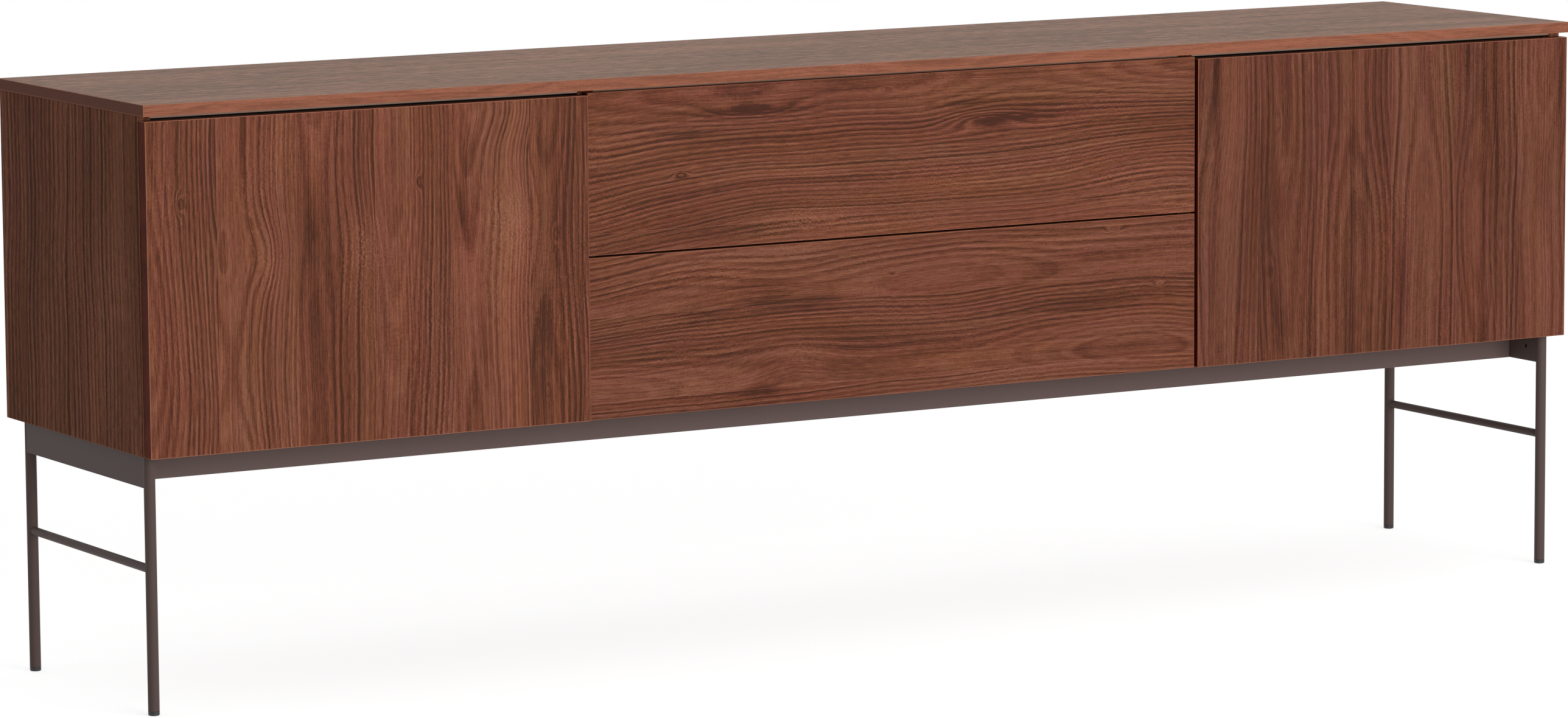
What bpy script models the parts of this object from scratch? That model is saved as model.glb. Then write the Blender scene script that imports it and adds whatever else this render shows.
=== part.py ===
"""Low sideboard: a long walnut cabinet with two doors, two wide drawers and a slim steel base.

Metres, +Z up. The origin is on the floor under the middle of the top panel, the length runs
along X and the front faces -Y. Left and right are seen from the front, so left is -X.
"""

import math

import bmesh
import bpy
from mathutils import Matrix, Vector

# Overall size, set by the top panel.
LENGTH = 2.400
DEPTH = 0.490
HEIGHT = 0.846
TOP_THICK = 0.016
TOP_OVERHANG = 0.002

# Clearances.
SEAT_GAP = 0.0003
FRONT_GAP = 0.003
DOOR_HEAD_GAP = 0.007
DRAWER_HEAD_GAP = 0.004

# Carcass boards.
UNDERSIDE_HEIGHT = 0.361
SIDE_THICK = 0.019
BOTTOM_THICK = 0.019
BACK_THICK = 0.008
BACK_REBATE = 0.009
DIVIDER_THICK = 0.025
DIVIDER_CENTRE = 0.507
TOP_RAIL_THICK = 0.016
TOP_RAIL_DEPTH = 0.080
TOP_RAIL_SETBACK = 0.001
TOP_RAIL_LIP_THICK = 0.0045
TOP_RAIL_LIP_DEPTH = 0.030
SHOWN_ARRIS = 0.0007
INNER_ARRIS = 0.0004

# Shelves and the metal angles that carry them.
SHELF_THICK = 0.016
SHELF_FRONT_SETBACK = 0.030
SHELF_BACK_GAP = 0.010
SHELF_END_GAP = 0.001
ANGLE_LEG = 0.015
ANGLE_THICK = 0.002
ANGLE_END_SETBACK = 0.015

# Doors.
DOOR_THICK = 0.019
DOOR_STANDOFF = 0.003
DOOR_EDGE_INSET = 0.001
DOOR_DIVIDER_LAP = 0.0035

# Door hinges: a cup let into the door, and an arm on the side panel that turns on the cup's pin.
HINGE_END_DISTANCE = 0.090
PIN_FROM_EDGE = 0.007
PIN_FROM_BACK = 0.010
PIN_RADIUS = 0.0008
PIN_PLAY = 0.0003
KNUCKLE_WALL = 0.0010
CUP_RADIUS = 0.0172
CUP_WALL = 0.0007
CUP_FROM_EDGE = 0.020
CUP_FLANGE_THICK = 0.0010
CUP_FLANGE_WIDTH = 0.016
CUP_FLANGE_HEIGHT = 0.052
NECK_THICK = 0.0024
NECK_HEIGHT = 0.010
ARM_THICK = 0.003
ARM_LENGTH = 0.062
ARM_PANEL_GAP = 0.0008
PLATE_THICK = 0.002
PLATE_LENGTH = 0.036
PLATE_HEIGHT = 0.050

# Push latches for the doors, on the dividers.
LATCH_WIDTH = 0.014
LATCH_LENGTH = 0.060
LATCH_SETBACK = 0.002
LATCH_FROM_HEAD = 0.060
PLUNGER_RADIUS = 0.004
PLUNGER_LENGTH = 0.042
PLUNGER_TRAVEL = 0.0025
PLUNGER_SPRING_ROOM = 0.005

# Drawers.
DRAWER_FRONT_THICK = 0.016
DRAWER_STANDOFF = 0.001
DRAWER_BOARD_THICK = 0.014
DRAWER_SIDE_HEIGHT = 0.150
DRAWER_SIDE_LIFT = 0.039
DRAWER_BOTTOM_THICK = 0.008
DRAWER_BOTTOM_LIFT = 0.012
GROOVE_DEPTH = 0.006

# Full-extension runners: three nested channels on each side of a drawer.
RUNNER_SETBACK = 0.002
RUNNER_BACK_GAP = 0.004
RUNNER_WIDTH = 0.013
RUNNER_HEIGHT = 0.045
RUNNER_SHEET = 0.0015
RUNNER_PLAY = 0.0005
RUNNER_LIFT = 0.020

# Steel base.
LEG_DIAMETER = 0.016
LEG_WALL = 0.0015
LEG_END_INSET = 0.0175
LEG_FRONT_INSET = 0.041
LEG_BACK_INSET = 0.048
LEG_CAP_THICK = 0.003
BASE_RAIL_HEIGHT = 0.045
BASE_RAIL_THICK = 0.015
BASE_RAIL_WALL = 0.0015
BASE_RAIL_CORNER = 0.001
BASE_RAIL_SETBACK = 0.071
VENT_RADIUS = 0.003
VENT_FROM_LEG = 0.030
CROSS_BAR_DIAMETER = 0.012
CROSS_BAR_HEIGHT = 0.203
GLIDE_HEIGHT = 0.006
GLIDE_EDGE = 0.0015
GLIDE_STEM = 0.015

# Facets of round pieces.
ROUND_SEGMENTS = 48
SMALL_SEGMENTS = 16
SMOOTH_ANGLE = math.radians(40)

# Planes that the pieces share.
TOP_UNDERSIDE = HEIGHT - TOP_THICK
SIDE_OUTER = LENGTH / 2 - TOP_OVERHANG
SIDE_INNER = SIDE_OUTER - SIDE_THICK
DIVIDER_OUTER = DIVIDER_CENTRE + DIVIDER_THICK / 2
DIVIDER_INNER = DIVIDER_CENTRE - DIVIDER_THICK / 2
DOOR_FRONT_Y = -DEPTH / 2 + TOP_OVERHANG
DOOR_BACK_Y = DOOR_FRONT_Y + DOOR_THICK
CARCASS_FRONT_Y = DOOR_BACK_Y + DOOR_STANDOFF
CARCASS_BACK_Y = DEPTH / 2 - TOP_OVERHANG
INSIDE_BACK_Y = CARCASS_BACK_Y - BACK_THICK
BOTTOM_TOP = UNDERSIDE_HEIGHT + BOTTOM_THICK
BAY_HEAD = TOP_UNDERSIDE - SEAT_GAP - TOP_RAIL_THICK
DOOR_OUTER = SIDE_OUTER - DOOR_EDGE_INSET
DOOR_INNER = DIVIDER_OUTER - DOOR_DIVIDER_LAP
DOOR_HEAD = TOP_UNDERSIDE - DOOR_HEAD_GAP
DRAWER_HALF_WIDTH = DOOR_INNER - FRONT_GAP
DRAWER_HEAD = TOP_UNDERSIDE - DRAWER_HEAD_GAP
DRAWER_BACK_Y = CARCASS_FRONT_Y - DRAWER_STANDOFF
DRAWER_FRONT_Y = DRAWER_BACK_Y - DRAWER_FRONT_THICK
DRAWER_FRONT_HEIGHT = (DRAWER_HEAD - UNDERSIDE_HEIGHT - FRONT_GAP) / 2
RUNNER_FRONT_Y = CARCASS_FRONT_Y + RUNNER_SETBACK
RUNNER_LENGTH = INSIDE_BACK_Y - RUNNER_BACK_GAP - RUNNER_FRONT_Y
BOX_HALF_WIDTH = DIVIDER_INNER - RUNNER_WIDTH
PIN_X = DOOR_OUTER - PIN_FROM_EDGE
PIN_Y = DOOR_BACK_Y - PIN_FROM_BACK
LEG_X = LENGTH / 2 - LEG_END_INSET
LEG_FRONT_Y = -DEPTH / 2 + LEG_FRONT_INSET
LEG_BACK_Y = DEPTH / 2 - LEG_BACK_INSET
LEG_RADIUS = LEG_DIAMETER / 2
LEG_BORE = LEG_RADIUS - LEG_WALL
BASE_TOP = UNDERSIDE_HEIGHT - SEAT_GAP

SIDES = {"left": -1, "right": 1}


def clear_scene():
    """Remove every object, so that the script can be run again."""
    for old in list(bpy.data.objects):
        bpy.data.objects.remove(old, do_unlink=True)


def new_collection(name):
    collection = bpy.data.collections.new(name)
    bpy.context.scene.collection.children.link(collection)
    return collection


def principled(name, colour, roughness, metallic=0.0):
    """A plain Principled material."""
    made = bpy.data.materials.new(name)
    made.use_nodes = True
    shader = made.node_tree.nodes["Principled BSDF"]
    shader.inputs["Base Color"].default_value = (*colour, 1.0)
    shader.inputs["Roughness"].default_value = roughness
    shader.inputs["Metallic"].default_value = metallic
    made.diffuse_color = (*colour, 1.0)
    return made


def mesh_from(bm, name):
    mesh = bpy.data.meshes.new(name)
    bm.to_mesh(mesh)
    bm.free()
    return mesh


def place(name, mesh, centre, finish, parent=None):
    """An object whose origin is at a world point, in the sideboard's collection."""
    made = bpy.data.objects.new(name, mesh)
    sideboard.objects.link(made)
    if parent is not None:
        made.parent = parent
        made.location = Vector(centre) - parent.location
    else:
        made.location = centre
    mesh.materials.append(finish)
    return made


def axis_empty(name, centre):
    """The parent of a moving group, on its joint's axis."""
    made = bpy.data.objects.new(name, None)
    made.empty_display_size = 0.03
    made.location = centre
    sideboard.objects.link(made)
    return made


def box_mesh(name, low, high):
    """A box of the real size, about its own centre."""
    bm = bmesh.new()
    bmesh.ops.create_cube(bm, size=1.0)
    size = [b - a for a, b in zip(low, high)]
    bmesh.ops.scale(bm, vec=size, verts=bm.verts)
    return mesh_from(bm, name)


def middle(low, high):
    return Vector([(a + b) / 2 for a, b in zip(low, high)])


def board(name, low, high, finish, parent=None, arris=INNER_ARRIS, segments=1):
    """A board between two corners, with its edges eased."""
    made = place(name, box_mesh(name, low, high), middle(low, high), finish, parent)
    bevel = made.modifiers.new("eased edges", "BEVEL")
    bevel.width = arris
    bevel.segments = segments
    bevel.limit_method = "ANGLE"
    return made


def shown_board(name, low, high, finish, parent=None):
    return board(name, low, high, finish, parent, SHOWN_ARRIS, 2)


def plain_box(name, low, high, finish, parent=None):
    return place(name, box_mesh(name, low, high), middle(low, high), finish, parent)


def span(sign, inner, outer):
    """The X range between two distances from the middle, on one side."""
    return sorted((sign * inner, sign * outer))


def helper(name, mesh, centre):
    """A guide for a Boolean: it isn't part of the sideboard."""
    made = bpy.data.objects.new(name, mesh)
    made.location = centre
    made.hide_render = True
    made.display_type = "WIRE"
    guides.objects.link(made)
    return made


def helper_box(name, low, high):
    return helper(name, box_mesh(name, low, high), middle(low, high))


def rod_mesh(name, radius, length, axis, segments):
    """A closed cylinder along X, Y or Z, about its own centre."""
    bm = bmesh.new()
    turns = {"X": Matrix.Rotation(math.pi / 2, 4, "Y"), "Y": Matrix.Rotation(math.pi / 2, 4, "X")}
    bmesh.ops.create_cone(
        bm,
        cap_ends=True,
        segments=segments,
        radius1=radius,
        radius2=radius,
        depth=length,
        matrix=turns.get(axis, Matrix.Identity(4)),
    )
    mesh = mesh_from(bm, name)
    mesh.shade_smooth()
    mesh.set_sharp_from_angle(angle=SMOOTH_ANGLE)
    return mesh


def helper_rod(name, centre, radius, length, axis="Z", segments=ROUND_SEGMENTS):
    return helper(name, rod_mesh(name, radius, length, axis, segments), centre)


def combine(target, operand, operation):
    step = target.modifiers.new(operand.name, "BOOLEAN")
    step.operation = operation
    step.object = operand


def cut(target, *operands):
    for operand in operands:
        combine(target, operand, "DIFFERENCE")


def fuse(target, *operands):
    for operand in operands:
        combine(target, operand, "UNION")


def folded_sheet(name, outline, start_y, length, thick, finish, parent=None):
    """A bent sheet-metal section along Y: an open outline in X and Z, swept and given its wall.

    The wall grows to the right of the outline's direction, seen from the front.
    """
    origin = Vector((outline[0][0], start_y, outline[0][1]))
    bm = bmesh.new()
    points = [bm.verts.new(Vector((x, start_y, z)) - origin) for x, z in outline]
    edges = [bm.edges.new(pair) for pair in zip(points, points[1:])]
    swept = bmesh.ops.extrude_edge_only(bm, edges=edges)["geom"]
    far = [v for v in swept if isinstance(v, bmesh.types.BMVert)]
    bmesh.ops.translate(bm, vec=(0, length, 0), verts=far)
    made = place(name, mesh_from(bm, name), origin, finish, parent)
    wall = made.modifiers.new("wall", "SOLIDIFY")
    wall.thickness = thick
    wall.offset = 1
    wall.use_even_offset = True
    return made


def top_panel():
    """The long top, which stands a little past the sides, the doors and the back."""
    low = (-LENGTH / 2, -DEPTH / 2, TOP_UNDERSIDE)
    high = (LENGTH / 2, DEPTH / 2, HEIGHT)
    shown_board("top_panel", low, high, walnut)


def back_panel():
    """One thin back in the rebates of the side panels, and the cutter for those rebates."""
    half = SIDE_INNER + BACK_REBATE
    low = (-half + SEAT_GAP, INSIDE_BACK_Y, UNDERSIDE_HEIGHT)
    high = (half - SEAT_GAP, CARCASS_BACK_Y, TOP_UNDERSIDE - SEAT_GAP)
    board("back_panel", low, high, walnut)
    reach = BACK_THICK
    rebate_low = (-half, INSIDE_BACK_Y - SEAT_GAP, UNDERSIDE_HEIGHT - reach)
    rebate_high = (half, CARCASS_BACK_Y + reach, TOP_UNDERSIDE + reach)
    return helper_box("back_rebate", rebate_low, rebate_high)


def side_panels(rebate):
    """The two ends of the cabinet, from the underside to the top panel."""
    for side, sign in SIDES.items():
        x0, x1 = span(sign, SIDE_INNER, SIDE_OUTER)
        low = (x0, CARCASS_FRONT_Y, UNDERSIDE_HEIGHT)
        high = (x1, CARCASS_BACK_Y, TOP_UNDERSIDE - SEAT_GAP)
        panel = shown_board(f"side_panel_{side}", low, high, walnut)
        cut(panel, rebate)


def bottom_panel():
    low = (-SIDE_INNER + SEAT_GAP, CARCASS_FRONT_Y, UNDERSIDE_HEIGHT)
    high = (SIDE_INNER - SEAT_GAP, INSIDE_BACK_Y - SEAT_GAP, BOTTOM_TOP)
    board("bottom_panel", low, high, walnut)


def dividers():
    """The two upright boards on each side of the drawers."""
    for side, sign in SIDES.items():
        x0, x1 = span(sign, DIVIDER_INNER, DIVIDER_OUTER)
        low = (x0, CARCASS_FRONT_Y, BOTTOM_TOP + SEAT_GAP)
        high = (x1, INSIDE_BACK_Y - SEAT_GAP, TOP_UNDERSIDE - SEAT_GAP)
        board(f"divider_{side}", low, high, walnut)


def top_rails():
    """Flat rails under the front of the top panel, one in each bay, rebated to a thin lip in front."""
    inner = {
        "left": (-SIDE_INNER, -DIVIDER_OUTER),
        "centre": (-DIVIDER_INNER, DIVIDER_INNER),
        "right": (DIVIDER_OUTER, SIDE_INNER),
    }
    front = CARCASS_FRONT_Y + TOP_RAIL_SETBACK
    lip_underside = TOP_UNDERSIDE - SEAT_GAP - TOP_RAIL_LIP_THICK
    for bay, (x0, x1) in inner.items():
        low = (x0 + SEAT_GAP, front, BAY_HEAD)
        high = (x1 - SEAT_GAP, front + TOP_RAIL_DEPTH, TOP_UNDERSIDE - SEAT_GAP)
        rail = board(f"top_rail_{bay}", low, high, taupe)
        rebate_low = (x0, front - TOP_RAIL_THICK, BAY_HEAD - TOP_RAIL_THICK)
        rebate_high = (x1, front + TOP_RAIL_LIP_DEPTH, lip_underside)
        cut(rail, helper_box(f"top_rail_rebate_{bay}", rebate_low, rebate_high))


def shelves():
    """A shelf half way up each cupboard, on two metal angles."""
    rise = (BOTTOM_TOP + BAY_HEAD - SHELF_THICK) / 2
    front = CARCASS_FRONT_Y + SHELF_FRONT_SETBACK
    back = INSIDE_BACK_Y - SHELF_BACK_GAP
    for side, sign in SIDES.items():
        x0, x1 = span(sign, DIVIDER_OUTER + SHELF_END_GAP, SIDE_INNER - SHELF_END_GAP)
        board(f"shelf_{side}", (x0, front, rise), (x1, back, rise + SHELF_THICK), walnut)
        for end, wall_x, inward in (
            ("outer", sign * SIDE_INNER, -sign),
            ("inner", sign * DIVIDER_OUTER, sign),
        ):
            shelf_angle(f"shelf_angle_{side}_{end}", wall_x, inward, rise, front, back)


def shelf_angle(name, wall_x, inward, rise, front, back):
    """An L section: one leg on the upright board, the other under the shelf."""
    corner_x = wall_x + inward * SEAT_GAP
    top = rise - SEAT_GAP
    outline = [(corner_x, top - ANGLE_LEG), (corner_x, top), (corner_x + inward * ANGLE_LEG, top)]
    length = back - front - 2 * ANGLE_END_SETBACK
    folded_sheet(name, outline, front + ANGLE_END_SETBACK, length, inward * ANGLE_THICK, zinc)


def doors():
    """Each door hangs at the outer end of the cabinet."""
    for side, sign in SIDES.items():
        pivot = axis_empty(f"door_{side}_axis", (sign * PIN_X, PIN_Y, UNDERSIDE_HEIGHT))
        x0, x1 = span(sign, DOOR_INNER, DOOR_OUTER)
        low = (x0, DOOR_FRONT_Y, UNDERSIDE_HEIGHT)
        high = (x1, DOOR_BACK_Y, DOOR_HEAD)
        door = shown_board(f"door_{side}", low, high, walnut, pivot)
        levels = {
            "lower": UNDERSIDE_HEIGHT + HINGE_END_DISTANCE,
            "upper": DOOR_HEAD - HINGE_END_DISTANCE,
        }
        for level, z in levels.items():
            hinge_cup(f"{side}_{level}", sign, z, door, pivot)
            hinge_arm(f"{side}_{level}", sign, z)


def hinge_cup(place_name, sign, z, door, pivot):
    """The cup, its flange on the door's back, and the pin across its mouth."""
    knuckle = PIN_RADIUS + PIN_PLAY + KNUCKLE_WALL
    inner_floor = PIN_Y - knuckle - PIN_PLAY
    outer_floor = inner_floor - CUP_WALL
    flange_back = DOOR_BACK_Y + SEAT_GAP + CUP_FLANGE_THICK
    cup_x = sign * (DOOR_OUTER - CUP_FROM_EDGE)
    depth = flange_back - outer_floor
    shell = rod_mesh(f"hinge_cup_{place_name}", CUP_RADIUS, depth, "Y", ROUND_SEGMENTS)
    centre = (cup_x, (flange_back + outer_floor) / 2, z)
    cup = place(f"hinge_cup_{place_name}", shell, centre, zinc, pivot)
    half_width = CUP_FLANGE_WIDTH / 2
    half_height = CUP_FLANGE_HEIGHT / 2
    flange = helper_box(
        f"cup_flange_{place_name}",
        (cup_x - half_width, flange_back - CUP_FLANGE_THICK, z - half_height),
        (cup_x + half_width, flange_back, z + half_height),
    )
    mouth_depth = flange_back - inner_floor + CUP_WALL
    mouth_centre = (cup_x, inner_floor + mouth_depth / 2, z)
    mouth = helper_rod(
        f"cup_mouth_{place_name}", mouth_centre, CUP_RADIUS - CUP_WALL, mouth_depth, "Y"
    )
    pin_centre = (sign * PIN_X, PIN_Y, z)
    pin = helper_rod(
        f"cup_pin_{place_name}", pin_centre, PIN_RADIUS, 2 * CUP_RADIUS, "Z", SMALL_SEGMENTS
    )
    limit_radius = CUP_RADIUS - CUP_WALL / 2
    limit = helper_rod(f"cup_pin_limit_{place_name}", centre, limit_radius, depth, "Y")
    combine(pin, limit, "INTERSECT")
    fuse(cup, flange)
    cut(cup, mouth)
    fuse(cup, pin)
    bore_depth = DOOR_BACK_Y - outer_floor + 2 * SEAT_GAP
    bore_centre = (cup_x, outer_floor - SEAT_GAP + bore_depth / 2, z)
    bore = helper_rod(f"cup_bore_{place_name}", bore_centre, CUP_RADIUS + SEAT_GAP, bore_depth, "Y")
    cut(door, bore)


def hinge_arm(place_name, sign, z):
    """The arm: a plate on the side panel, a leg along it, and a neck that turns on the cup's pin."""
    knuckle = PIN_RADIUS + PIN_PLAY + KNUCKLE_WALL
    leg_outer = SIDE_INNER - ARM_PANEL_GAP
    leg_inner = leg_outer - ARM_THICK
    leg_back = CARCASS_FRONT_Y + ARM_LENGTH
    half_neck = NECK_HEIGHT / 2
    x0, x1 = span(sign, leg_inner, leg_outer)
    low = (x0, PIN_Y - NECK_THICK / 2, z - half_neck)
    arm = plain_box(f"hinge_arm_{place_name}", low, (x1, leg_back, z + half_neck), zinc)
    x0, x1 = span(sign, leg_inner + ARM_THICK / 2, PIN_X)
    neck = helper_box(
        f"arm_neck_{place_name}",
        (x0, PIN_Y - NECK_THICK / 2, z - half_neck),
        (x1, PIN_Y + NECK_THICK / 2, z + half_neck),
    )
    pin_centre = (sign * PIN_X, PIN_Y, z)
    barrel = helper_rod(f"arm_barrel_{place_name}", pin_centre, knuckle, NECK_HEIGHT, "Z", SMALL_SEGMENTS)
    bore_radius = PIN_RADIUS + PIN_PLAY
    bore = helper_rod(f"arm_bore_{place_name}", pin_centre, bore_radius, 2 * NECK_HEIGHT, "Z", SMALL_SEGMENTS)
    x0, x1 = span(sign, SIDE_INNER - SEAT_GAP - PLATE_THICK, SIDE_INNER - SEAT_GAP)
    plate = helper_box(
        f"arm_plate_{place_name}",
        (x0, leg_back - PLATE_LENGTH, z - PLATE_HEIGHT / 2),
        (x1, leg_back, z + PLATE_HEIGHT / 2),
    )
    fuse(arm, neck, barrel, plate)
    cut(arm, bore)


def push_latches():
    """A sprung plunger in a block on each divider, behind the door's free edge."""
    z = DOOR_HEAD - LATCH_FROM_HEAD
    front = CARCASS_FRONT_Y + LATCH_SETBACK
    tip = DOOR_BACK_Y + SEAT_GAP
    half = LATCH_WIDTH / 2
    for side, sign in SIDES.items():
        x0, x1 = span(sign, DIVIDER_OUTER + SEAT_GAP, DIVIDER_OUTER + SEAT_GAP + LATCH_WIDTH)
        low = (x0, front, z - half)
        high = (x1, front + LATCH_LENGTH, z + half)
        block = board(f"push_latch_{side}", low, high, grey_plastic)
        x = (x0 + x1) / 2
        bore_end = tip + PLUNGER_LENGTH + PLUNGER_TRAVEL + PLUNGER_SPRING_ROOM
        bore_length = bore_end - front + LATCH_SETBACK
        bore_centre = (x, bore_end - bore_length / 2, z)
        bore = helper_rod(f"latch_bore_{side}", bore_centre, PLUNGER_RADIUS + SEAT_GAP, bore_length, "Y")
        cut(block, bore)
        slider = axis_empty(f"push_plunger_{side}_axis", (x, tip, z))
        rod = rod_mesh(f"push_plunger_{side}", PLUNGER_RADIUS, PLUNGER_LENGTH, "Y", ROUND_SEGMENTS)
        rod_centre = (x, tip + PLUNGER_LENGTH / 2, z)
        place(f"push_plunger_{side}", rod, rod_centre, grey_plastic, slider)


def drawers():
    """Two wide drawers, one above the other, each a box behind its front."""
    lower = UNDERSIDE_HEIGHT
    upper = lower + DRAWER_FRONT_HEIGHT + FRONT_GAP
    for level, floor in (("lower", lower), ("upper", upper)):
        drawer(level, floor)


def drawer(level, floor):
    """Front, two sides, back, and a bottom held in grooves."""
    slider = axis_empty(f"{level}_drawer_axis", (0, DRAWER_FRONT_Y, floor + DRAWER_FRONT_HEIGHT / 2))
    low = (-DRAWER_HALF_WIDTH, DRAWER_FRONT_Y, floor)
    high = (DRAWER_HALF_WIDTH, DRAWER_BACK_Y, floor + DRAWER_FRONT_HEIGHT)
    front = shown_board(f"{level}_drawer_front", low, high, walnut, slider)
    box_front = DRAWER_BACK_Y + SEAT_GAP
    box_back = RUNNER_FRONT_Y + RUNNER_LENGTH
    box_low = floor + DRAWER_SIDE_LIFT
    box_high = box_low + DRAWER_SIDE_HEIGHT
    inside = BOX_HALF_WIDTH - DRAWER_BOARD_THICK
    grooved = [front]
    for side, sign in SIDES.items():
        x0, x1 = span(sign, inside, BOX_HALF_WIDTH)
        name = f"{level}_drawer_side_{side}"
        grooved.append(board(name, (x0, box_front, box_low), (x1, box_back, box_high), taupe, slider))
    back_low = (-inside + SEAT_GAP, box_back - DRAWER_BOARD_THICK, box_low)
    back_high = (inside - SEAT_GAP, box_back, box_high)
    grooved.append(board(f"{level}_drawer_back", back_low, back_high, taupe, slider))
    bottom_z = box_low + DRAWER_BOTTOM_LIFT
    reach_x = inside + GROOVE_DEPTH
    reach_front = DRAWER_BACK_Y - GROOVE_DEPTH
    reach_back = box_back - DRAWER_BOARD_THICK + GROOVE_DEPTH
    plain_box(
        f"{level}_drawer_bottom",
        (-reach_x + SEAT_GAP, reach_front + SEAT_GAP, bottom_z),
        (reach_x - SEAT_GAP, reach_back - SEAT_GAP, bottom_z + DRAWER_BOTTOM_THICK),
        taupe,
        slider,
    )
    groove = helper_box(
        f"{level}_drawer_groove",
        (-reach_x, reach_front, bottom_z - SEAT_GAP),
        (reach_x, reach_back, bottom_z + DRAWER_BOTTOM_THICK + SEAT_GAP),
    )
    for piece in grooved:
        cut(piece, groove)
    for side, sign in SIDES.items():
        runner(level, side, sign, box_low + RUNNER_LIFT + RUNNER_HEIGHT / 2, slider)


def runner(level, side, sign, z, slider):
    """Three nested channels: on the divider, between, and on the drawer's side."""
    wall = DIVIDER_INNER - SEAT_GAP
    box = BOX_HALF_WIDTH + SEAT_GAP
    step = RUNNER_SHEET + RUNNER_PLAY
    nested = RUNNER_WIDTH - 2 * SEAT_GAP
    reach = wall - nested + step
    half = RUNNER_HEIGHT / 2
    channel(f"runner_cabinet_{level}_{side}", sign * wall, sign * reach, z, half, zinc)
    carriage = axis_empty(f"runner_middle_{level}_{side}_axis", (sign * wall, RUNNER_FRONT_Y, z))
    half -= step
    name = f"runner_middle_{level}_{side}"
    channel(name, sign * (wall - step), sign * reach, z, half, zinc, carriage)
    half -= step
    name = f"runner_drawer_{level}_{side}"
    channel(name, sign * box, sign * (wall - 2 * step), z, half, zinc, slider)


def channel(name, web_x, lip_x, z, half_height, finish, parent=None):
    """A C section along Y: its web stands at one X and its lips reach to the other."""
    outline = [
        (lip_x, z - half_height),
        (web_x, z - half_height),
        (web_x, z + half_height),
        (lip_x, z + half_height),
    ]
    inward = 1 if lip_x > web_x else -1
    folded_sheet(name, outline, RUNNER_FRONT_Y, RUNNER_LENGTH, inward * RUNNER_SHEET, finish, parent)


def side_frames():
    """Each end of the base: two tube legs, a rectangular rail and a round cross bar, welded."""
    leg_foot = GLIDE_HEIGHT + SEAT_GAP
    leg_length = BASE_TOP - leg_foot
    leg_centre_z = (BASE_TOP + leg_foot) / 2
    half_rail = BASE_RAIL_THICK / 2
    for side, sign in SIDES.items():
        x = sign * LEG_X
        low = (x - half_rail, LEG_FRONT_Y, BASE_TOP - BASE_RAIL_HEIGHT)
        high = (x + half_rail, LEG_BACK_Y, BASE_TOP)
        frame = board(f"side_frame_{side}", low, high, steel, None, BASE_RAIL_CORNER, 2)
        bar_centre = (x, (LEG_FRONT_Y + LEG_BACK_Y) / 2, CROSS_BAR_HEIGHT)
        bar_length = LEG_BACK_Y - LEG_FRONT_Y
        fuse(frame, helper_rod(f"cross_bar_{side}", bar_centre, CROSS_BAR_DIAMETER / 2, bar_length, "Y"))
        bores = []
        for end, y in (("front", LEG_FRONT_Y), ("back", LEG_BACK_Y)):
            leg = helper_rod(f"leg_{end}_{side}", (x, y, leg_centre_z), LEG_RADIUS, leg_length)
            fuse(frame, leg)
            bore_z = leg_centre_z - LEG_CAP_THICK
            bores.append(helper_rod(f"leg_bore_{end}_{side}", (x, y, bore_z), LEG_BORE, leg_length))
        wall = BASE_RAIL_WALL
        hollow_low = (low[0] + wall, LEG_FRONT_Y + LEG_RADIUS + wall, low[2] + wall)
        hollow_high = (high[0] - wall, LEG_BACK_Y - LEG_RADIUS - wall, high[2] - wall)
        hollow = helper_box(f"side_rail_hollow_{side}", hollow_low, hollow_high)
        vent_y = LEG_FRONT_Y + VENT_FROM_LEG
        vent_z = BASE_TOP - BASE_RAIL_HEIGHT / 2
        vent_centre = (x - sign * half_rail, vent_y, vent_z)
        vent = helper_rod(f"side_rail_vent_{side}", vent_centre, VENT_RADIUS, 3 * wall, "X", SMALL_SEGMENTS)
        cut(frame, *bores, hollow, vent)


def base_rails():
    """Long rectangular tubes between the side frames, set back from the legs."""
    half_length = LEG_X - BASE_RAIL_THICK / 2 - SEAT_GAP
    wall = BASE_RAIL_WALL
    low_z = BASE_TOP - BASE_RAIL_HEIGHT
    front_y = LEG_FRONT_Y + BASE_RAIL_SETBACK
    back_y = LEG_BACK_Y - BASE_RAIL_SETBACK - BASE_RAIL_THICK
    for end, y in (("front", front_y), ("back", back_y)):
        low = (-half_length, y, low_z)
        high = (half_length, y + BASE_RAIL_THICK, BASE_TOP)
        rail = board(f"base_rail_{end}", low, high, steel, None, BASE_RAIL_CORNER, 2)
        bore_low = (low[0] - wall, low[1] + wall, low[2] + wall)
        bore_high = (high[0] + wall, high[1] - wall, high[2] - wall)
        cut(rail, helper_box(f"base_rail_bore_{end}", bore_low, bore_high))


def glides():
    """A turned foot under each leg, with a stem in the tube."""
    stem = LEG_BORE - SEAT_GAP
    corner = [
        (
            LEG_RADIUS - GLIDE_EDGE + GLIDE_EDGE * math.cos(turn),
            GLIDE_EDGE - GLIDE_EDGE * math.sin(turn),
        )
        for turn in [math.radians(a) for a in (0, 30, 60, 90)]
    ]
    top = GLIDE_HEIGHT + GLIDE_STEM
    profile = [(0, top), (stem, top), (stem, GLIDE_HEIGHT), (LEG_RADIUS, GLIDE_HEIGHT), *corner, (0, 0)]
    for side, sign in SIDES.items():
        for end, y in (("front", LEG_FRONT_Y), ("back", LEG_BACK_Y)):
            turned(f"glide_{end}_{side}", profile, (sign * LEG_X, y, 0), black_plastic)


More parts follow.
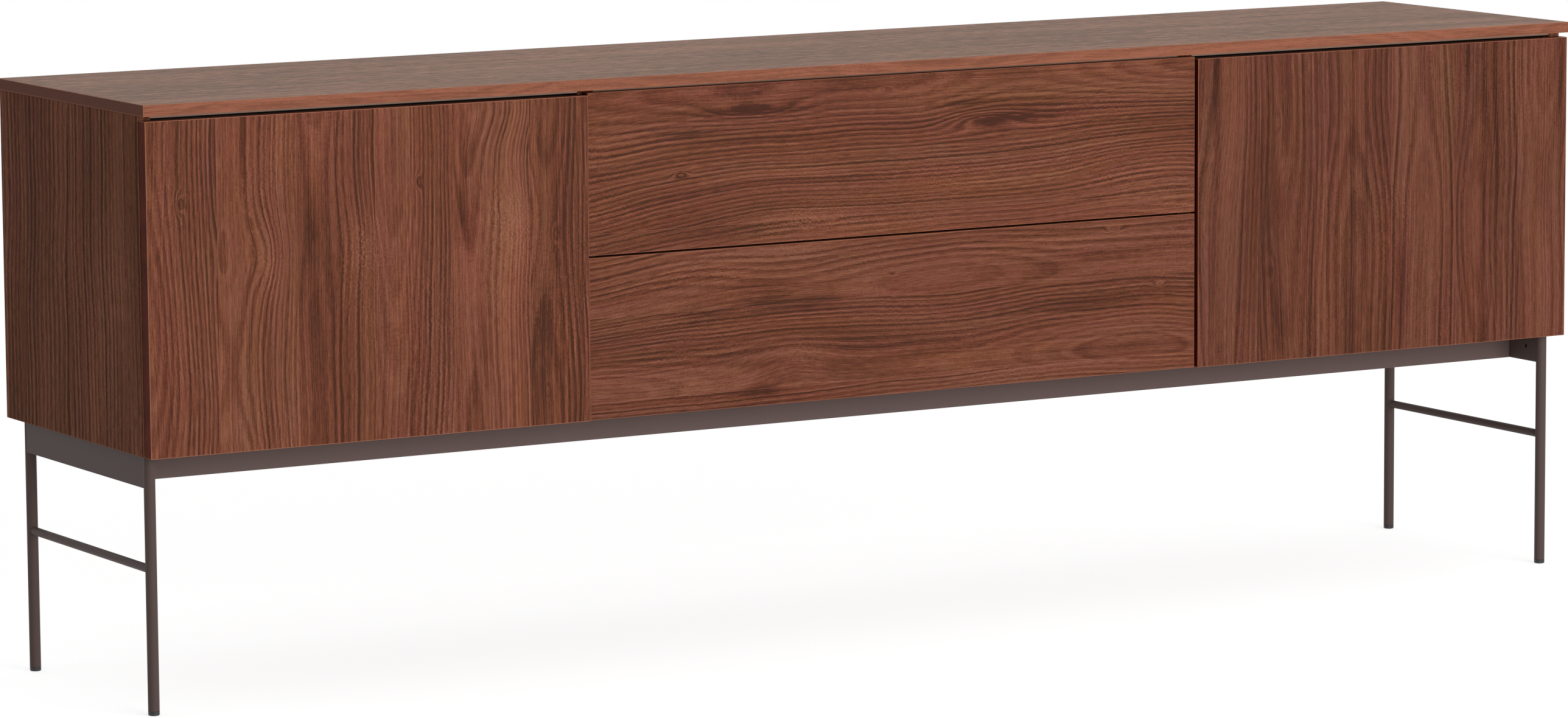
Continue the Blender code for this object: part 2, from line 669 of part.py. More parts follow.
def turned(name, profile, centre, finish):
    """A solid of revolution about Z from a profile of radius and height, top to bottom."""
    bm = bmesh.new()
    points = [bm.verts.new((radius, 0, z)) for radius, z in profile]
    for pair in zip(points, points[1:]):
        bm.edges.new(pair)
    made = place(name, mesh_from(bm, name), centre, finish)
    lathe = made.modifiers.new("turned", "SCREW")
    lathe.steps = ROUND_SEGMENTS
    lathe.render_steps = ROUND_SEGMENTS
    lathe.use_merge_vertices = True
    lathe.merge_threshold = 0.00001
    return made


clear_scene()
sideboard = new_collection("low sideboard")
guides = new_collection("guides")

walnut = principled("walnut veneer", (0.20, 0.070, 0.042), 0.45)
taupe = principled("taupe lacquer", (0.20, 0.155, 0.13), 0.5)
steel = principled("bronze powder coat", (0.085, 0.062, 0.054), 0.5)
zinc = principled("zinc plate", (0.55, 0.55, 0.55), 0.35, 0.9)
black_plastic = principled("black plastic", (0.012, 0.010, 0.010), 0.5)
grey_plastic = principled("grey plastic", (0.30, 0.30, 0.30), 0.5)

top_panel()
side_panels(back_panel())
bottom_panel()
dividers()
top_rails()
shelves()
doors()
push_latches()
drawers()
side_frames()
base_rails()
glides()
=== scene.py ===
"""Looks for the low sideboard: walnut veneer, coated steel, small fittings, floor, light and camera."""

import math

import bmesh
import bpy
import numpy as np
from bpy.props import FloatProperty, FloatVectorProperty, PointerProperty
from bpy.types import Operator, Panel, PropertyGroup
from mathutils import Matrix, Vector


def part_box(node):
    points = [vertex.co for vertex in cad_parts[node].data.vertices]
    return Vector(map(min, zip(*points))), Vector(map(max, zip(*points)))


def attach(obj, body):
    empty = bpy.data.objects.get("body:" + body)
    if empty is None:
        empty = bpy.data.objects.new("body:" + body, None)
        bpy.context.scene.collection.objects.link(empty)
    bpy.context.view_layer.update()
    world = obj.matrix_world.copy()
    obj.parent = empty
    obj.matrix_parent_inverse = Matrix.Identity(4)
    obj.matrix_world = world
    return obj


bl_info = {
    "name": "Low sideboard",
    "version": (1, 0, 0),
    "blender": (4, 5, 0),
    "location": "3D view > Sidebar > Sideboard",
    "description": "Finishes and small fittings for a long low sideboard, with its studio",
    "category": "Object",
}

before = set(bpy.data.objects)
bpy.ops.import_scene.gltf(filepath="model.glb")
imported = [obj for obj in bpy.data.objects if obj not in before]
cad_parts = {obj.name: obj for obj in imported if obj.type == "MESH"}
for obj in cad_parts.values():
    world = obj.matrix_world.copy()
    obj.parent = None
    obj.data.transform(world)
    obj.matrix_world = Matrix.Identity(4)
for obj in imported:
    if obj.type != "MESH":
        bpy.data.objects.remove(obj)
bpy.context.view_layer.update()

SIDES = {"left": -1.0, "right": 1.0}
LEVELS = ("lower", "upper")
CABINET = "cabinet"

FLOAT = "NodeSocketFloat"
VECTOR = "NodeSocketVector"
WHITE = (1.0, 1.0, 1.0, 1.0)

VENEER_INPUTS = (
    "Across", "Along", "Knot", "Pull", "Stain", "Ripple", "Seed", "Start", "Leaf width", "Heart", "Ring",
)

# Scales of the noises in the veneer, for each metre across the grain and along it.
GRAIN = {
    "warp": (6.0, 2.6),
    "shiver": (46.0, 9.0),
    "curled places": (7.0, 4.5),
    "stitches": (110.0, 210.0),
    "clouds": (22.0, 3.0),
    "fibres": (1200.0, 48.0),
    "streaks": (360.0, 1.6),
    "curl": (330.0, 300.0),
    "pores": (1300.0, 190.0),
    "wide hue": (26.0, 3.0),
    "fine hue": (420.0, 22.0),
    "mottle": (150.0, 36.0),
}

# The same for noises over something else: the rings, the leaves or the way along the grain.
WANDER_ALONG_AND_LEAF = (1.7, 5.1)
YEAR_RING_AND_LEAF = (0.9, 2.3)
BANDS_RING_AND_ALONG = (0.21, 1.1)
WARP_LEAF = 3.7

# How far the rings of the veneer move, in metres. The heart's luck is a share of the leaf's width.
WARP_REACH = 0.034
SHIVER_REACH = 0.0032
STITCH_REACH = 0.0040
HEART_LUCK = 0.16
LEAF_SHIFT = 9.0
LEAST_DEPTH = 0.004
DEPTH_REACH = 0.085

# How strongly each part of the veneer moves its tone, and where the tone stands without them.
PLAIN_TONE = 0.62
TONE = {
    "bands": 0.42,
    "clouds": 0.30,
    "fibres": 1.25,
    "streaks": 1.10,
    "leaf": 0.12,
    "curl": 0.62,
    "ripple": 0.13,
    "lines": 0.35,
    "pores": 0.24,
}
PALE_SHARE = -0.22
WIDE_HUE = (0.21, 0.21, 0.34)
FINE_HUE = (0.31, 0.31, 0.50)

# The tones of late wood, early wood and light fibres at a contrast of one.
MIDDLE_STOP = 0.52
DARK_REACH = 0.40
LIGHT_REACH = 0.60

# The ends of the top's edge band: partly darker end grain, partly painted shade on faces that turn away
# from the light.
BAND_END_GRAIN_AND_SHADE = (0.105, 0.020, 0.006)
# The arrises are made lighter: partly wear, partly a painted highlight where an edge catches the light.
WEAR_AND_GLINT_GAIN = 1.6
SEAM_SHARE = 0.45
SHEEN_TINT = (1.0, 0.78, 0.43, 1.0)

# Marks in the veneer of the fronts. Each is a place across and along the grain, a width, a length
# and an amount. The amount is in metres for knots and pulls, and a share for stains and ripples.
DOORS = {
    "left": {
        "seed": 5.0, "start": -1.0917, "heart": 0.10, "ring": 0.0060,
        "gain": 1.03, "contrast": 1.10, "rub": 0.95,
        "marks": {
            "Knot": (
                (-1.1478, 0.7077, 0.007, 0.014, 0.012), (-0.7847, 0.7175, 0.006, 0.010, 0.010),
                (-0.5690, 0.6316, 0.005, 0.012, 0.008), (-0.5842, 0.4101, 0.005, 0.012, 0.010),
                (-1.0850, 0.6350, 0.012, 0.040, -0.009),
            ),
            "Pull": (
                (-1.0200, 0.6310, 0.030, 0.050, 0.018), (-0.8750, 0.6450, 0.045, 0.075, 0.012),
                (-0.6300, 0.6450, 0.045, 0.075, 0.010), (-0.6500, 0.8150, 0.060, 0.045, 0.020),
            ),
            "Stain": (
                (-1.0850, 0.6350, 0.005, 0.020, 0.30), (-0.9490, 0.6500, 0.007, 0.055, 0.42),
                (-0.7160, 0.6750, 0.010, 0.045, 0.36), (-0.5930, 0.4600, 0.012, 0.110, 0.30),
                (-0.5640, 0.6200, 0.014, 0.140, 0.20), (-0.5300, 0.5900, 0.022, 0.400, 0.20),
                (-1.1478, 0.7077, 0.002, 0.003, 0.35), (-0.7847, 0.7175, 0.002, 0.003, 0.35),
                (-1.0500, 0.8000, 0.012, 0.060, 0.14), (-0.6850, 0.4700, 0.016, 0.060, 0.20),
            ),
            "Ripple": (
                (-0.8700, 0.6350, 0.030, 0.045, 0.80), (-0.6350, 0.6550, 0.030, 0.050, 0.75),
                (-1.0150, 0.6150, 0.022, 0.040, 0.60),
            ),
        },
    },
    "right": {
        "seed": 23.0, "start": 0.6272, "heart": 0.34, "ring": 0.0080,
        "gain": (0.79, 0.80, 0.85), "contrast": 1.02, "rub": 0.7,
        "marks": {
            "Knot": (
                (0.6480, 0.4994, 0.007, 0.018, 0.012), (0.6605, 0.7213, 0.005, 0.012, 0.010),
                (1.0021, 0.6066, 0.004, 0.008, 0.006),
            ),
            "Pull": (
                (0.5650, 0.8500, 0.050, 0.260, 0.028), (0.6600, 0.5600, 0.030, 0.100, -0.010),
                (1.0700, 0.5500, 0.060, 0.120, -0.012),
            ),
            "Stain": (
                (0.5500, 0.7200, 0.007, 0.160, 0.26), (0.5420, 0.5200, 0.010, 0.090, 0.20),
                (0.6400, 0.6600, 0.017, 0.220, 0.24), (0.6600, 0.4300, 0.012, 0.080, 0.28),
                (0.7960, 0.5900, 0.004, 0.300, 0.34), (0.8220, 0.5900, 0.004, 0.300, 0.24),
                (1.0420, 0.5900, 0.005, 0.300, 0.34), (1.0640, 0.7200, 0.006, 0.150, 0.28),
                (0.8900, 0.4600, 0.014, 0.080, 0.26), (1.1850, 0.7400, 0.006, 0.120, 0.24),
                (0.6480, 0.4994, 0.003, 0.004, 0.30), (1.0080, 0.8000, 0.010, 0.025, 0.20),
            ),
            "Ripple": ((0.9300, 0.7200, 0.020, 0.060, 0.15),),
        },
    },
}
DRAWER_FRONTS = {
    "upper": {
        "seed": 43.0, "start": 0.6255, "heart": 0.66, "leaf": 0.2405, "gain": 1.03,
        "marks": {
            "Knot": (
                (0.7028, -0.3642, 0.005, 0.012, 0.010), (0.8060, -0.0224, 0.004, 0.010, 0.008),
                (0.7857, -0.2447, 0.012, 0.075, -0.012), (0.7532, 0.1442, 0.012, 0.060, 0.014),
            ),
            "Pull": ((0.6300, -0.5600, 0.130, 0.180, -0.036), (0.6900, 0.4300, 0.070, 0.160, 0.020)),
            "Stain": (
                (0.7870, -0.2500, 0.009, 0.060, 0.46), (0.7600, -0.3600, 0.007, 0.060, 0.34),
                (0.7560, 0.1900, 0.008, 0.060, 0.46), (0.7780, 0.1100, 0.006, 0.050, 0.32),
                (0.7028, -0.3642, 0.003, 0.003, 0.30), (0.8060, -0.0224, 0.002, 0.003, 0.35),
            ),
            "Ripple": ((0.6250, -0.1600, 0.014, 0.070, 0.80), (0.6750, 0.1500, 0.022, 0.110, 0.40)),
        },
    },
    "lower": {
        "seed": 47.0, "start": 0.3850, "heart": 0.06, "leaf": 0.1205, "gain": (0.93, 0.93, 0.95),
        "marks": {
            "Knot": (
                (0.5377, -0.0138, 0.003, 0.008, 0.006), (0.5769, 0.3692, 0.005, 0.012, 0.010),
                (0.5200, -0.2300, 0.012, 0.080, -0.012), (0.4900, 0.4500, 0.004, 0.010, 0.008),
            ),
            "Pull": ((0.4300, -0.1900, 0.040, 0.080, 0.016), (0.5600, -0.5600, 0.110, 0.180, -0.034)),
            "Stain": (
                (0.5120, -0.2300, 0.010, 0.050, 0.52), (0.5000, -0.3300, 0.006, 0.050, 0.40),
                (0.5060, -0.1500, 0.008, 0.045, 0.44), (0.5350, -0.2300, 0.010, 0.060, 0.22),
                (0.3820, -0.2350, 0.008, 0.035, 0.36), (0.5377, -0.0138, 0.002, 0.003, 0.35),
                (0.5400, 0.3300, 0.005, 0.080, 0.18), (0.4700, 0.3500, 0.012, 0.120, 0.16),
            ),
            "Ripple": ((0.4350, -0.1650, 0.020, 0.050, 0.80), (0.5850, -0.1700, 0.012, 0.050, 0.70)),
        },
    },
}

# The rails under the top: the height of the pale lip, below which the rail is painted near black as the
# shade in the gap behind it; the painted-light gain that makes the rails paler than the other lacquer,
# standing in for light on them; and the gain of that painted shade.
LIP_HEIGHT = 0.0044
TOP_RAIL_PAINTED_LIGHT_GAIN = 1.25
GAP_PAINTED_SHADE_GAIN = 0.03

# A pan head, as shares of its radius.
HEAD_ROWS = (0.0, 0.06, 0.12, 0.18, 0.26, 0.34, 0.42, 0.50, 0.60, 0.72, 0.84, 0.93, 0.98, 1.0)
HEAD_COLUMNS = 32
DOME_HEIGHT = 0.42
DOME_FALL = 0.92
RECESS_DEPTH = 0.30
RECESS_FALL = 0.46
RECESS_REACH = 0.50
RECESS_HALF_WIDTH = 0.15
RECESS_SLOPE = 0.06

# Where the screws sit: how far in from the faces and ends of the fitting that they hold.
PLATE_SUNK = 0.0015
PLATE_SCREW_FROM_BACK = 0.018
PLATE_SCREW_FROM_END = 0.008
CUP_SCREW_FROM_END = 0.0042
CUP_SCREW_SHARE = 0.8
ANGLE_THICKNESS = 0.002
ANGLE_SCREW_HEIGHT = 0.006
ANGLE_SCREW_FROM_END = 0.03
ANGLE_SCREW_SHARE = 0.9

# The base: how pale its parts are, where the side frames' lower gain is painted shade that makes the legs
# darker than the rails of the same coat; its cross bars and the beads that weld them to the legs.
SIDE_FRAME_PAINTED_SHADE_GAIN = 0.78
BASE_RAIL_GAIN = (1.05, 1.06, 1.09)
CROSS_BAR_HEIGHT = 0.203
CROSS_BAR_RADIUS = 0.006
BEAD_COLUMNS = 12
BEAD_ROWS = 48
BEAD_WAVES = 11
BEAD_SWELL = 0.12

MERGE_DISTANCE = 1e-7
SHARP_ANGLE = math.radians(38)

# The stage. The film is in millimetres, and the glow is what the floor adds where it is seen.
FLOOR_REACH = 60.0
FLOOR_LINES = 13
FLOOR_DROP = 0.0002
FLOOR_GLOW = 0.71
FLOOR_ROUGHNESS = 0.9
KEY_SIZE = (5.0, 2.6)
KEY_PLACE = (0.9, -5.7, 1.35)
KEY_AIM = (0.0, 0.0, 0.6)
FILM_WIDTH = 36.0
VIEW_END = 200.0


def colour_property(name, description, default):
    return FloatVectorProperty(
        name=name, description=description, default=default, subtype="COLOR", size=3, min=0.0, max=1.0
    )


def length_property(name, description, default):
    return FloatProperty(name=name, description=description, default=default, unit="LENGTH", precision=4)


def angle_property(name, description, degrees):
    return FloatProperty(name=name, description=description, default=math.radians(degrees), subtype="ANGLE")


class WoodSettings(PropertyGroup):
    """The walnut veneer and the lacquered boards."""

    dark: colour_property("Late wood", "Colour of the dark growth lines", (0.075, 0.027, 0.016))
    middle: colour_property("Early wood", "Colour of most of the veneer", (0.186, 0.0593, 0.0320))
    light: colour_property("Light fibres", "Colour of the lightest streaks", (0.336, 0.130, 0.078))
    band: colour_property("Edge band", "Colour of the band on the top's long edges", (0.30, 0.107, 0.061))
    # Painted shade: the narrow ends of the fronts are made darker, as they turn away from the light.
    ends: colour_property("End stain", "Darkens the narrow ends of the fronts", (0.50, 0.17, 0.06))
    lacquer: colour_property("Taupe lacquer", "Colour of the inner boards", (0.41, 0.26, 0.195))
    leaf: length_property("Leaf width", "Width of one leaf of veneer", 0.1205)
    ring: length_property("Ring spacing", "Width of one growth ring", 0.0060)
    roughness: FloatProperty(name="Roughness", description="Roughness of the clear coat", default=0.46)


class MetalSettings(PropertyGroup):
    """The coated base and the small fittings."""

    coat: colour_property("Base coat", "Colour of the powder coat", (0.142, 0.098, 0.088))
    plate: colour_property("Plating", "Colour of the zinc plating", (0.55, 0.55, 0.54))
    glide: colour_property("Glide", "Colour of the glides", (0.012, 0.009, 0.009))
    latch: colour_property("Latch", "Colour of the push latches", (0.26, 0.26, 0.26))
    bead: length_property("Weld bead", "Radius of the weld bead round a cross bar", 0.0013)
    screw: length_property("Screw head", "Radius of a screw head", 0.0038)


class StageSettings(PropertyGroup):
    """The floor, the light and the camera."""

    floor: colour_property("Floor", "Colour of the floor", (0.80, 0.80, 0.80))
    key: FloatProperty(
        name="Key light", description="Power of the soft front light", default=190.0, unit="POWER"
    )
    sky: FloatProperty(name="Room light", description="Strength of the light from all round", default=0.36)
    lens: length_property("Lens", "Focal length of the camera", 0.1488)
    yaw: angle_property("Yaw", "Turn of the camera to the right", 30.264)
    pitch: angle_property("Pitch", "Tilt of the camera down", 7.688)
    roll: angle_property("Roll", "Turn of the camera about its view", 0.368)
    place: FloatVectorProperty(
        name="Camera place", description="Where the camera stands",
        default=(-4.8487, -8.2114, 1.6718), subtype="TRANSLATION",
    )


class SideboardSettings(PropertyGroup):
    """All the settings of the sideboard."""

    wood: PointerProperty(type=WoodSettings)
    metal: PointerProperty(type=MetalSettings)
    stage: PointerProperty(type=StageSettings)


class Graph:
    """A short way to write a node tree: each call adds its nodes and gives back their output."""

    def __init__(self, tree):
        self.tree = tree

    def add(self, kind, **settings):
        made = self.tree.nodes.new(kind)
        for key, value in settings.items():
            setattr(made, key, value)
        return made

    def feed(self, socket, value):
        """Link an output to a socket, or set the socket to a plain value."""
        if isinstance(value, bpy.types.NodeSocket):
            self.tree.links.new(value, socket)
        else:
            socket.default_value = value

    def math(self, operation, *values):
        made = self.add("ShaderNodeMath", operation=operation)
        for socket, value in zip(made.inputs, values):
            self.feed(socket, value)
        return made.outputs[0]

    def vector(self, operation, *values):
        made = self.add("ShaderNodeVectorMath", operation=operation)
        for socket, value in zip(made.inputs, values):
            self.feed(socket, value)
        return made.outputs["Value" if operation == "DOT_PRODUCT" else "Vector"]

    def weigh(self, value, amount, middle=0.5):
        """How far a value lies above its middle, times an amount."""
        return self.math("MULTIPLY", self.math("SUBTRACT", value, middle), amount)

    def split(self, value):
        made = self.add("ShaderNodeSeparateXYZ")
        self.feed(made.inputs[0], value)
        return tuple(made.outputs)

    def join(self, x, y, z=0.0):
        made = self.add("ShaderNodeCombineXYZ")
        for socket, value in zip(made.inputs, (x, y, z)):
            self.feed(socket, value)
        return made.outputs[0]

    def mix(self, factor, a, b):
        made = self.add("ShaderNodeMix", data_type="FLOAT")
        for index, value in zip((0, 2, 3), (factor, a, b)):
            self.feed(made.inputs[index], value)
        return made.outputs[0]

    def tint(self, factor, a, b, blend="MIX"):
        made = self.add("ShaderNodeMix", data_type="RGBA", blend_type=blend)
        for index, value in zip((0, 6, 7), (factor, a, b)):
            self.feed(made.inputs[index], value)
        return made.outputs[2]

    def shades(self, factor, colour, gains, tone=1.0):
        """One colour, from its lower gain to its higher one, both times a tone."""
        lower, higher = (rgba(colour, np.multiply(gain, tone)) for gain in gains)
        return self.tint(factor, lower, higher)

    def noise(self, vector, scale, detail=2.0, roughness=0.5, output="Fac"):
        made = self.add("ShaderNodeTexNoise", noise_dimensions="3D")
        values = {"Vector": vector, "Scale": scale, "Detail": detail, "Roughness": roughness}
        for key, value in values.items():
            self.feed(made.inputs[key], value)
        return made.outputs[output]

    def layer(self, x, y, scales, z, detail=2.0, roughness=0.5, output="Fac"):
        """Noise over X and Y, each times its own scale, and over Z as it is."""
        at = self.join(self.math("MULTIPLY", x, scales[0]), self.math("MULTIPLY", y, scales[1]), z)
        return self.noise(at, 1.0, detail, roughness, output)

    def steps(self, value, low, high, start=0.0, end=1.0):
        """From start to end in a smooth step, as the value goes from low to high."""
        made = self.add("ShaderNodeMapRange", interpolation_type="SMOOTHSTEP")
        for index, item in enumerate((value, low, high, start, end)):
            self.feed(made.inputs[index], item)
        return made.outputs[0]

    def place(self):
        return self.add("ShaderNodeTexCoord").outputs["Object"]


def rgba(colour, gain=1.0):
    """A colour for a socket, times one gain or times a gain for each of red, green and blue."""
    return (*np.minimum(1.0, np.multiply(colour, gain)).tolist(), 1.0)


def new_group(name, inputs, outputs):
    """A node group with its sockets, and the graph that fills it."""
    tree = bpy.data.node_groups.new(name, "ShaderNodeTree")
    for key, kind in inputs:
        tree.interface.new_socket(key, in_out="INPUT", socket_type=kind)
    for key, kind in outputs:
        tree.interface.new_socket(key, in_out="OUTPUT", socket_type=kind)
    graph = Graph(tree)
    return tree, graph, graph.add("NodeGroupInput").outputs, graph.add("NodeGroupOutput").inputs


def board_group():
    """Which face of a board a point lies on, and how near it is to an arris.

    The distance to each pair of faces is taken along X, Y and Z. The smallest says which face it
    is, and the middle one of the three is small only along an arris.
    """
    if "board faces" in bpy.data.node_groups:
        return bpy.data.node_groups["board faces"]
    tree, g, given, wanted = new_group(
        "board faces",
        (("Place", VECTOR), ("Low", VECTOR), ("High", VECTOR)),
        (("On X face", FLOAT), ("On Z face", FLOAT), ("Arris", FLOAT)),
    )
    below = g.vector("SUBTRACT", given["Place"], given["Low"])
    above = g.vector("SUBTRACT", given["High"], given["Place"])
    x, y, z = g.split(g.vector("MINIMUM", below, above))
    g.feed(wanted["On X face"], g.math("LESS_THAN", x, g.math("MINIMUM", y, z)))
    g.feed(wanted["On Z face"], g.math("LESS_THAN", z, g.math("MINIMUM", x, y)))
    inner = g.math("MINIMUM", g.math("MAXIMUM", x, y), z)
    between = g.math("MAXIMUM", g.math("MINIMUM", x, y), inner)
    g.feed(wanted["Arris"], g.steps(between, 0.0003, 0.0011, start=1.0, end=0.0))
    return tree


def bells(g, across, along, items):
    """The sum of bell-shaped bumps: each its amount times exp of minus the squared distance.

    An item is a place across and along the grain, a width, a length and an amount.
    """
    here = g.join(across, along)
    total = 0.0
    for place_across, place_along, width, length, amount in items:
        apart = g.vector("SUBTRACT", here, (place_across, place_along, 0.0))
        apart = g.vector("DIVIDE", apart, (width, length, 1.0))
        squared = g.vector("DOT_PRODUCT", apart, apart)
        bell = g.math("EXPONENT", g.math("MULTIPLY", squared, -1.0))
        total = g.math("MULTIPLY_ADD", bell, amount, total)
    return total


def veneer_group():
    """Walnut veneer as flat cuts through growth rings, one leaf beside another.

    A ring is a tube round the heart of the log, so its distance from the heart at a point of the
    leaf is the root of the squared distance across the leaf plus the squared depth of the cut. The
    depth wanders along the leaf, and so the lines near the heart close into arches and eyes, and
    those far from it run straight.
    """
    if "walnut veneer" in bpy.data.node_groups:
        return bpy.data.node_groups["walnut veneer"]
    tree, g, given, wanted = new_group(
        "walnut veneer",
        [(key, FLOAT) for key in VENEER_INPUTS],
        (("Tone", FLOAT), ("Seam", FLOAT), ("Hue", VECTOR)),
    )
    across, along, width, pull = given["Across"], given["Along"], given["Leaf width"], given["Pull"]

    # Which leaf the point lies on, how far into it, and three chance numbers for that leaf.
    count = g.math("DIVIDE", g.math("SUBTRACT", across, given["Start"]), width)
    leaf = g.math("FLOOR", count)
    inside = g.math("MULTIPLY", g.math("SUBTRACT", count, leaf), width)
    number = g.math("ADD", leaf, given["Seed"])
    chance = g.add("ShaderNodeTexWhiteNoise", noise_dimensions="1D")
    g.feed(chance.inputs["W"], number)
    luck_heart, luck_shift, luck_tone = g.split(chance.outputs["Color"])

    # How far the point is from the heart of the log.
    slow = g.layer(across, along, GRAIN["warp"], g.math("MULTIPLY", number, WARP_LEAF), detail=1.5)
    warp = g.weigh(slow, WARP_REACH)
    share = g.math("ADD", given["Heart"], g.math("MULTIPLY", luck_heart, HEART_LUCK))
    heart = g.math("MULTIPLY", width, share)
    off = g.math("SUBTRACT", g.math("ADD", g.math("SUBTRACT", inside, heart), warp), pull)
    run = g.math("ADD", along, g.math("MULTIPLY", luck_shift, LEAF_SHIFT))
    wander = g.layer(run, number, WANDER_ALONG_AND_LEAF, 0.0, detail=1.0)
    depth = g.math("ADD", LEAST_DEPTH, g.math("MULTIPLY", wander, DEPTH_REACH))
    ring = g.math("SQRT", g.math("ADD", g.math("MULTIPLY", off, off), g.math("MULTIPLY", depth, depth)))
    ring = g.math("ADD", ring, given["Knot"])
    shiver = g.layer(across, along, GRAIN["shiver"], number, detail=3.0, roughness=0.6)
    ring = g.math("ADD", ring, g.weigh(shiver, SHIVER_REACH))

    # In curled places the rings zigzag a little.
    where = g.layer(across, along, GRAIN["curled places"], given["Seed"], detail=0.0)
    curled = g.math("ADD", given["Ripple"], g.steps(where, 0.42, 0.70, start=0.14, end=0.55))
    stitch = g.weigh(g.layer(across, along, GRAIN["stitches"], number, detail=0.0), curled)
    ring = g.math("ADD", ring, g.math("MULTIPLY", stitch, STITCH_REACH))

    # A growth line is a slow rise to dark late wood and a fast fall, then a pale start. Lines are
    # stronger in some years, and towards the straight grain.
    phase = g.math("DIVIDE", ring, given["Ring"])
    part = g.math("FRACT", phase)
    late = g.math("MULTIPLY", g.steps(part, 0.16, 0.78), g.steps(part, 0.80, 1.0, start=1.0, end=0.0))
    pale = g.math("MULTIPLY", g.steps(part, 0.0, 0.10), g.steps(part, 0.14, 0.40, start=1.0, end=0.0))
    year = g.layer(phase, number, YEAR_RING_AND_LEAF, 0.0)
    year = g.steps(year, 0.34, 0.66, start=0.22, end=1.0)
    straight = g.steps(g.math("ABSOLUTE", off), 0.010, 0.060, start=0.64, end=1.40)
    strength = g.math("MULTIPLY", year, straight)
    lines = g.math("MULTIPLY", g.math("MULTIPLY_ADD", pale, PALE_SHARE, late), strength)

    # The tone: bands of years, clouds, fibres, streaks, the leaf's own tone, curl, lines and pores.
    bent = g.math("SUBTRACT", g.math("ADD", across, warp), pull)
    streaks = g.layer(bent, along, GRAIN["streaks"], number, detail=3.0, roughness=0.6)
    parts = {
        "bands": g.layer(phase, along, BANDS_RING_AND_ALONG, number, detail=1.0),
        "clouds": g.layer(across, along, GRAIN["clouds"], number),
        "fibres": g.layer(bent, along, GRAIN["fibres"], number, detail=3.0, roughness=0.65),
        "streaks": streaks,
        "leaf": luck_tone,
    }
    tone = PLAIN_TONE
    for key, value in parts.items():
        tone = g.math("ADD", tone, g.weigh(value, TONE[key]))
    curl = g.weigh(g.layer(across, along, GRAIN["curl"], number, detail=1.0), curled, middle=0.40)
    rippled = g.math("MULTIPLY", given["Ripple"], TONE["ripple"])
    tone = g.math("ADD", tone, g.math("MULTIPLY_ADD", curl, TONE["curl"], rippled))
    tone = g.math("SUBTRACT", tone, g.math("MULTIPLY", lines, TONE["lines"]))
    pores = g.steps(g.layer(across, along, GRAIN["pores"], number, detail=1.0), 0.60, 0.74)
    tone = g.math("SUBTRACT", tone, g.math("MULTIPLY", pores, TONE["pores"]))
    stain = g.math("MULTIPLY", given["Stain"], g.steps(streaks, 0.30, 0.70, start=1.20, end=0.55))
    g.feed(wanted["Tone"], g.math("SUBTRACT", tone, stain))

    from_seam = g.math("MINIMUM", inside, g.math("SUBTRACT", width, inside))
    g.feed(wanted["Seam"], g.steps(from_seam, 0.0001, 0.0006, start=1.0, end=0.0))

    # The hue: gains of red, green and blue that drift in wide patches and from fibre to fibre.
    wide = g.layer(bent, along, GRAIN["wide hue"], number, output="Color")
    fine = g.layer(bent, along, GRAIN["fine hue"], number, detail=3.0, roughness=0.7, output="Color")
    hue = (1.0, 1.0, 1.0)
    for drift, reach in ((wide, WIDE_HUE), (fine, FINE_HUE)):
        hue = g.vector("MULTIPLY_ADD", g.vector("SUBTRACT", drift, (0.5, 0.5, 0.5)), reach, hue)
    g.feed(wanted["Hue"], hue)
    return tree


def new_material(name):
    """A material, the graph that fills it and its shader."""
    material = bpy.data.materials.new(name)
    material.use_nodes = True
    return material, Graph(material.node_tree), material.node_tree.nodes["Principled BSDF"]


def emboss(g, shader, height, distance, strength):
    """Give a shader a bump from a height between nought and one."""
    bump = g.add("ShaderNodeBump")
    for key, value in (("Height", height), ("Distance", distance), ("Strength", strength)):
        g.feed(bump.inputs[key], value)
    g.feed(shader.inputs["Normal"], bump.outputs["Normal"])


def grain_axes(g, place, on_x, on_z, upright, long_axis):
    """The distances across and along the grain, on whichever face of the board the point lies."""
    x, y, z = g.split(place)
    if upright:
        along_z, across_z = (x, y) if long_axis == "X" else (y, x)
        return g.mix(on_x, g.mix(on_z, x, across_z), y), g.mix(on_z, z, along_z)
    return g.mix(on_z, z, y), g.mix(on_x, x, y)


def wood_colours(g, tone, wood, gain, contrast):
    """Late wood, early wood and light fibres over the tone, closer together at a higher contrast."""
    ramp = g.add("ShaderNodeValToRGB")
    g.feed(ramp.inputs[0], tone)
    stops = ramp.color_ramp.elements
    stops[0].position = MIDDLE_STOP - DARK_REACH / contrast
    stops[0].color = rgba(wood.dark, gain)
    stops[1].position = min(1.0, MIDDLE_STOP + LIGHT_REACH / contrast)
    stops[1].color = rgba(wood.light, gain)
    stops.new(MIDDLE_STOP).color = rgba(wood.middle, gain)
    return ramp.outputs[0]


